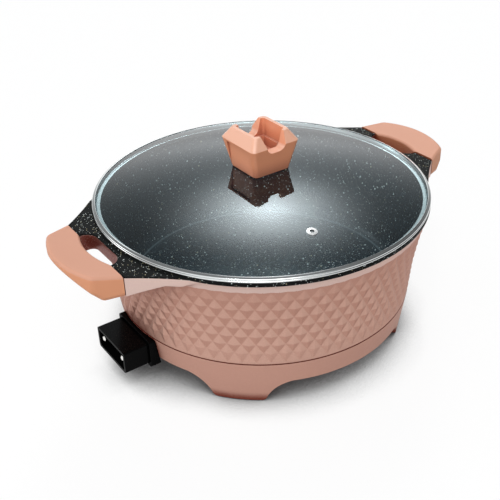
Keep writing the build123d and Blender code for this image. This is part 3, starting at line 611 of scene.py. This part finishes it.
def under_z(x):
    """Height of an ear's underside, which slopes down from the rim to the grip."""
    return EAR_UNDER_ROOT-EAR_UNDER_SLOPE*max(0.0, abs(x)-EAR_UNDER_START)


def at_crease(column, dx, dy):
    """A ring's point in the crease between rim and ear. The next functions make others of its kind."""
    return (EAR_CREASE_RADIUS*dx, EAR_CREASE_RADIUS*dy, EAR_TOP+EAR_CREASE_LIFT)


def on_top(share):
    """On the flat top, a share of the way from the rim to the ear's edge."""
    def point(column, dx, dy):
        start = (EAR_TOP_START*dx, EAR_TOP_START*dy, EAR_TOP)
        edge = (column.x-EAR_TOP_INSET*column.out_x, column.y-EAR_TOP_INSET*column.out_y, EAR_TOP)
        return between(start, edge, share)
    return point


def on_edge(inset, drop):
    """On the rounded edge between top and side."""
    def point(column, dx, dy):
        return (column.x-inset*column.out_x, column.y-inset*column.out_y, EAR_TOP-drop)
    return point


def on_side(share):
    """On the upright side, a share of the way down."""
    def point(column, dx, dy):
        top, bottom = EAR_TOP-EAR_SIDE_DROP, under_z(column.x)+EAR_SIDE_LIFT
        return (column.x, column.y, top+(bottom-top)*share)
    return point


def under_edge(inset, lift):
    """On the rounded edge between side and underside."""
    def point(column, dx, dy):
        x, y = column.x-inset*column.out_x, column.y-inset*column.out_y
        return (x, y, under_z(x)+lift)
    return point


def underside(share):
    """On the underside, a share of the way from the edge to the pot's wall."""
    def point(column, dx, dy):
        x, y = column.x-EAR_UNDER_INSET*column.out_x, column.y-EAR_UNDER_INSET*column.out_y
        radius = outer_wall(EAR_WALL_HEIGHT)+EAR_WALL_OUT
        wall = (radius*dx, radius*dy, under_z(radius*dx)-EAR_WALL_DROP)
        return between((x, y, under_z(x)), wall, share)
    return point


def at_wall(out, z):
    """On the pot's wall at a height, or a little out from it."""
    def point(column, dx, dy):
        radius = outer_wall(z)+out
        return (radius*dx, radius*dy, z)
    return point


# Each row gives one ring: (radius, height) on the plain rim, and the way to its point on an ear
BLACK_RINGS = (
    ((RIM_RADIUS, 141.1), at_crease),
    ((RIM_RADIUS, 140.8), on_top(0.0)),
    ((RIM_RADIUS, 140.5), on_top(0.33)),
    ((RIM_RADIUS, 140.2), on_top(0.67)),
    ((RIM_RADIUS, 139.9), on_top(1.0)),
    ((RIM_RADIUS, 139.6), on_edge(0.9, 0.14)),
    ((RIM_RADIUS, 139.3), on_edge(0.38, 0.45)),
    ((RIM_RADIUS, 138.8), on_edge(0.12, 0.85)),
)
ROSE_RINGS = (
    ((159.9, 138.2), on_side(0.0)),
    ((159.6, 138.0), on_side(0.33)),
    ((159.2, 137.85), on_side(0.67)),
    ((158.8, 137.6), on_side(1.0)),
    ((158.45, 137.2), under_edge(0.25, 0.55)),
    ((158.25, 136.6), under_edge(0.9, 0.08)),
    ((outer_wall(135.6), 135.6), underside(0.15)),
    ((outer_wall(134.3), 134.3), underside(0.6)),
    ((outer_wall(133.0), 133.0), underside(1.0)),
    ((outer_wall(131.6), 131.6), at_wall(0.7, 131.0)),
)


def upper_pot(skin, columns, angles):
    """The pot's inside, its rim and its ears. Gives the ring where the facets begin."""
    directions = [(cos(radians(a)), sin(radians(a))) for a in angles]

    def blended(rim_point, ear_point):
        """One ring that runs on the plain rim and, as far as a column is part of an ear, on the ear."""
        points = []
        for column, (dx, dy) in zip(columns, directions):
            plain = (rim_point[0]*dx, rim_point[0]*dy, rim_point[1])
            if column.ear_share == 0.0:
                points.append(plain)
            else:
                points.append(between(plain, ear_point(column, dx, dy), column.ear_share))
        return skin.ring(points)

    profile = [(radius, FLOOR_TOP) for radius in FLOOR_RINGS]
    for turn in CORNER_RINGS:
        out, up = FLOOR_CORNER*cos(radians(turn)), FLOOR_CORNER*sin(radians(turn))
        profile.append((CORNER_CENTRE+out, FLOOR_TOP+FLOOR_CORNER+up))
    profile += [(inner_wall(z), z) for z in INNER_WALL_RINGS]
    profile += RIM_RINGS
    rim_start = [z >= RIM_COAT_START for radius, z in profile].index(True)
    rings = [skin.turned(radius, z, angles) for radius, z in profile]
    skin.cap(rings[0], FLOOR_TOP, INSIDE_SLOT, True)
    rings += [blended(*pair) for pair in BLACK_RINGS]
    for i, (inner, outer) in enumerate(zip(rings, rings[1:])):
        skin.join(inner, outer, INSIDE_SLOT if i < rim_start else RIM_SLOT)
    outside = [rings[-1]]+[blended(*pair) for pair in ROSE_RINGS]
    for inner, outer in zip(outside, outside[1:]):
        skin.join(inner, outer, LIP_SLOT)
    return outside[-1]


def facet_wall(skin, top_ring, top_angles, turns):
    """Facets: peaks and valleys take turns along every row and from row to row.

    Gives the lowest ring and the range of the facets' faces.
    """
    sides = len(turns)
    last_row = len(FACET_ROWS)-1
    rings = []
    for row, z in enumerate(FACET_ROWS):
        points = []
        for j, turn in enumerate(turns):
            out = FACET_PEAK if (row+j) % 2 == 0 else FACET_VALLEY
            if row in (0, last_row):
                out = 0.0
            radius = outer_wall(z)+out
            points.append((radius*cos(radians(turn)), radius*sin(radians(turn)), z))
        rings.append(skin.ring(points))
    skin.stitch(top_ring, top_angles, rings[0], turns, LIP_SLOT)
    first_facet = len(skin.faces)
    for row in range(last_row):
        upper, lower = rings[row], rings[row+1]
        for j in range(sides):
            k = (j+1) % sides
            if (row+j) % 2 == 0:
                # The valleys are the upper right and lower left corners
                skin.face((upper[j], lower[j], upper[k]), WALL_SLOT)
                skin.face((upper[k], lower[j], lower[k]), WALL_SLOT)
            else:
                skin.face((upper[j], lower[j], lower[k]), WALL_SLOT)
                skin.face((upper[j], lower[k], upper[k]), WALL_SLOT)
    return rings[-1], range(first_facet, len(skin.faces))


def bevel_ridges(made, facets):
    """Narrow bevels on the ridges between facets, and normals that all look outward."""
    shape = bmesh.new()
    shape.from_mesh(made.data)
    shape.faces.ensure_lookup_table()
    edges = set()
    for face in shape.faces[facets.start:facets.stop]:
        for edge in face.edges:
            if all(f.index in facets for f in edge.link_faces) and edge.calc_face_angle(0) > radians(2):
                edges.add(edge)
    bmesh.ops.bevel(
        shape, geom=list(edges), offset=RIDGE_BEVEL*MM, segments=1, affect="EDGES", clamp_overlap=True,
        material=WALL_SLOT)
    bmesh.ops.recalc_face_normals(shape, faces=shape.faces)
    for face in shape.faces:
        face.smooth = True
    shape.to_mesh(made.data)
    shape.free()


def pot_mesh():
    skin = Skin()
    columns = pot_columns()
    angles = [column.angle for column in columns]
    sides = 2*FACETS_ROUND
    turns = [FACET_PHASE+360.0*j/sides for j in range(sides)]
    top_ring = upper_pot(skin, columns, angles)
    lower, facets = facet_wall(skin, top_ring, angles, turns)
    for radius, z in ((outer_wall(FOOT_START), FOOT_START), *FOOT_RINGS):
        ring = skin.turned(radius, z, turns)
        skin.join(lower, ring, WALL_SLOT)
        lower = ring
    skin.cap(lower, FLOOR_UNDER, WALL_SLOT, False)
    made = skin.build("pot_shell", [rim_coat, pot_rose, lip_rose, inside_coat])
    bevel_ridges(made, facets)
    weighted(made, 50)
    return made


def glass_mesh():
    """The domed glass with the hole for the knob's screw in the middle."""
    top = [(r, dome(r)) for r in GLASS_RINGS]
    under = [(r, dome(r, GLASS_THICKNESS)) for r in reversed(GLASS_RINGS)]
    edge = [(GLASS_RADIUS-0.1, GLASS_EDGE-0.25), (GLASS_RADIUS, GLASS_EDGE-1.2)]
    edge.append((GLASS_RADIUS-0.15, under[0][1]+0.4))
    return lathe("glass_dome", top+edge+under, 144, glass, 40)


def band_mesh():
    """The steel band: a rolled edge over the glass and a lip that drops into the pot."""
    underside_points = [(153.0, 142.3), (158.9, 142.3)]
    lower_bead = arc((158.95, 143.28), 1.05, 0.95, 24.0, range(-3, 4))
    upper_bead = arc((158.6, 145.25), 1.4, 1.1, 20.0, range(-2, 5))
    edge_on_glass = [(157.7, 146.75), (157.25, 147.1), (157.02, 147.02), (157.0, 146.7)]
    groove_for_glass = [(158.3, 146.35), (158.9, 146.15), (159.12, 145.8), (159.12, 142.8)]
    inner_bead = [(156.7, 142.8), (156.4, 143.1), (155.9, 143.25), (155.4, 143.1), (155.1, 142.8)]
    lip = [(152.9, 142.8), (152.5, 142.4), (152.5, 138.8), (153.0, 138.8)]
    profile = underside_points+lower_bead+[(159.42, 144.3)]+upper_bead+edge_on_glass
    profile += groove_for_glass+inner_bead+lip
    return lathe("steel_band", profile, 240, chrome, 50)


def from_node(node, name, material, bevel):
    """A copy of a CAD node's mesh with its sharp edges rounded off."""
    mesh = frame["nodes"][node].data.copy()
    mesh.name = name
    made = bpy.data.objects.new(name, mesh)
    bpy.context.collection.objects.link(made)
    mesh.materials.clear()
    mesh.materials.append(material)
    shape = bmesh.new()
    shape.from_mesh(mesh)
    bmesh.ops.remove_doubles(shape, verts=shape.verts, dist=WELD_DISTANCE)
    bmesh.ops.dissolve_limit(shape, angle_limit=radians(FLAT_ANGLE), verts=shape.verts, edges=shape.edges)
    for face in shape.faces:
        face.smooth = True
        face.material_index = 0
    shape.to_mesh(mesh)
    shape.free()
    modifier = made.modifiers.new("bevel", "BEVEL")
    modifier.width = bevel*MM
    modifier.segments = 2
    modifier.limit_method = "ANGLE"
    modifier.angle_limit = radians(EDGE_ANGLE)
    weighted(made)
    return made


pot = pot_mesh()
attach(pot, "pot")
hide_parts("pot_casting")
lid = glass_mesh()
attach(lid, "lid")
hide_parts("lid_glass")
band = band_mesh()
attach(band, "lid")
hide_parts("lid_rim_band")
rounded_pieces = (
    ("vent_eyelet", "steam_eyelet", "lid", "rim_band", eyelet_metal, 0.25),
    ("lid_knob", "square_knob", "lid", "grip_pink", knob_rose, 0.9),
    ("grip_left", "grip_near_inlet", "pot", "grip_pink", grip_rose, 1.4),
    ("grip_right", "grip_far", "pot", "grip_pink", grip_rose, 1.4),
    ("base_skirt", "base_ring", "pot", "skirt_pink", skirt_rose, 0.35),
    ("socket_shroud", "inlet_shroud", "pot", "inlet_black", inlet_black, 0.35),
    ("socket_bezel", "inlet_bezel", "pot", "inlet_black", inlet_black, 0.45),
)
for node, name, body, slot, material, bevel in rounded_pieces:
    piece = from_node(node, name, material, bevel)
    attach(piece, body)
    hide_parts(node)

# The other nodes keep the CAD's mesh and get the material of their slot
replaced = {"pot_casting", "lid_glass", "lid_rim_band"} | {row[0] for row in rounded_pieces}
slot_of = {s["node"]: s["material_slot"] for s in frame["record"]["subparts"]}
for name, carried in frame["nodes"].items():
    if name in replaced:
        continue
    if not carried.material_slots:
        carried.data.materials.append(None)
    for place in carried.material_slots:
        place.material = materials[slot_of[name]]


def floor_material(name):
    """A pale floor that looks white round the pot and keeps its shadow, partly real and partly a painted
    contact shadow beside the pot.

    Other light meets a grey floor, so that not too much comes back up from it.
    """
    t = material_tree(name)
    path = t.add("ShaderNodeLightPath").outputs
    seen = t.largest(path["Is Camera Ray"], path["Is Glossy Ray"], path["Is Transmission Ray"])
    shaded = t.add("ShaderNodeBsdfDiffuse", {"Color": t.mix(seen, grey(0.52), grey(0.97))}).outputs[0]
    # Painted contact shadow: the floor's white turns dark where the pot stands near
    painted_contact_shadow = t.mix(t.span(t.open_share(0.06), 0.30, 0.78), grey(0.02), grey(1.0))
    white = t.add("ShaderNodeEmission", {"Color": painted_contact_shadow, "Strength": 1.0}).outputs[0]
    return t.finish(t.blend(t.math("MULTIPLY", seen, 0.88), shaded, white))


FLOOR_HALF_SIDE = 6.0
FLOOR_DROP = 0.0002
corners = [(x*FLOOR_HALF_SIDE, y*FLOOR_HALF_SIDE, 0.0) for x, y in ((-1, -1), (1, -1), (1, 1), (-1, 1))]
floor_mesh = bpy.data.meshes.new("floor")
floor_mesh.from_pydata(corners, [], [(0, 1, 2, 3)])
floor_mesh.materials.append(floor_material("floor"))
floor = bpy.data.objects.new("floor", floor_mesh)
bpy.context.collection.objects.link(floor)
floor.location.z = -FLOOR_DROP

# Soft lights of the studio: direction, sharpness and strength. In turn they are the glow in the glass and its
# core, the light on the glass's far edge, the main light, a small lamp for glints, a window behind on the
# left, low light from the inlet's side, and a dark card on the right that takes light away
STUDIO_LIGHTS = (
    ((0.431, 0.569, 0.701), 63.0, 7.4),
    ((0.431, 0.569, 0.701), 500.0, 2.5),
    ((0.586, 0.805, 0.09), 10.0, 1.35),
    ((-0.25, -0.46, 0.86), 13.0, 2.8),
    ((-0.45, -0.28, 0.85), 700.0, 30.0),
    ((-0.52, 0.70, 0.47), 60.0, 3.6),
    ((-0.97, -0.22, 0.10), 3.0, 1.2),
    ((0.88, -0.47, -0.10), 1.5, -0.23),
)
STUDIO_LEVEL = 0.24
BACKDROP_TOP = 0.22
BACKDROP_FULL = 0.08


def studio_world(name):
    """A soft studio, seen as plain white by the camera, and by mirror images that look near the horizon."""
    t = Tree(bpy.data.worlds.new(name))
    direction = t.coordinates["Generated"]
    level = STUDIO_LEVEL
    for toward, sharpness, strength in STUDIO_LIGHTS:
        aim = Vector(toward).normalized()
        ahead = t.math("MAXIMUM", t.vector_math("DOT_PRODUCT", direction, aim).outputs["Value"], 0.0)
        light = t.math("MULTIPLY", t.math("POWER", ahead, sharpness), strength)
        level = t.math("ADD", light, level)
    studio = t.add("ShaderNodeBackground", {"Color": (0.97, 0.99, 1.0, 1.0), "Strength": level}).outputs[0]
    white = t.add("ShaderNodeBackground", {"Color": grey(1.0)}).outputs[0]
    path = t.add("ShaderNodeLightPath").outputs
    height = t.add("ShaderNodeSeparateXYZ", {0: direction}).outputs["Z"]
    mirrored = t.math("MULTIPLY", path["Is Glossy Ray"], t.span(height, BACKDROP_TOP, BACKDROP_FULL))
    plain = t.largest(path["Is Camera Ray"], path["Is Transmission Ray"], mirrored)
    return t.finish(t.blend(plain, studio, white), "ShaderNodeOutputWorld")


bpy.context.scene.world = studio_world("studio")

# A lamp above the front of the pot
LAMP_PLACE = Vector((-0.45, -0.90, 1.5))
LAMP_AIM = Vector((0.0, 0.0, 0.08))
LAMP_SIZE = 0.8
LAMP_POWER = 3.0
lamp_data = bpy.data.lights.new("key_light", "AREA")
lamp_data.shape = "DISK"
lamp_data.size = LAMP_SIZE
lamp_data.energy = LAMP_POWER
lamp = bpy.data.objects.new("key_light", lamp_data)
bpy.context.collection.objects.link(lamp)
lamp.location = LAMP_PLACE
lamp.rotation_euler = (LAMP_AIM-LAMP_PLACE).to_track_quat("-Z", "Y").to_euler()

# Camera, fitted to the photograph: focal length in its pixels, turns in degrees, lengths in metres
IMAGE_WIDTH = 500.0
FOCAL_LENGTH = 810.95
SENSOR_WIDTH = 36.0
AZIMUTH, ELEVATION, ROLL = -34.43, 31.95, -1.70
CAMERA_DISTANCE = 0.8034
CAMERA_TARGET = Vector((-0.015, -0.0005, 0.080))
camera_data = bpy.data.cameras.new("camera")
camera_data.sensor_fit = "HORIZONTAL"
camera_data.sensor_width = SENSOR_WIDTH
camera_data.lens = SENSOR_WIDTH*FOCAL_LENGTH/IMAGE_WIDTH
camera_data.clip_start = 0.01
camera = bpy.data.objects.new("camera", camera_data)
bpy.context.collection.objects.link(camera)
azimuth, elevation, roll = radians(AZIMUTH), radians(ELEVATION), radians(ROLL)
forward = Vector((-sin(azimuth)*cos(elevation), cos(azimuth)*cos(elevation), -sin(elevation)))
right = Vector((cos(azimuth), sin(azimuth), 0.0))
upward = right.cross(forward)
turned_right = cos(roll)*right+sin(roll)*upward
turned_up = -sin(roll)*right+cos(roll)*upward
basis = Matrix((turned_right, turned_up, -forward)).transposed()
camera.matrix_world = Matrix.Translation(CAMERA_TARGET-forward*CAMERA_DISTANCE) @ basis.to_4x4()
bpy.context.scene.camera = camera
bpy.context.scene.view_settings.view_transform = "Standard"
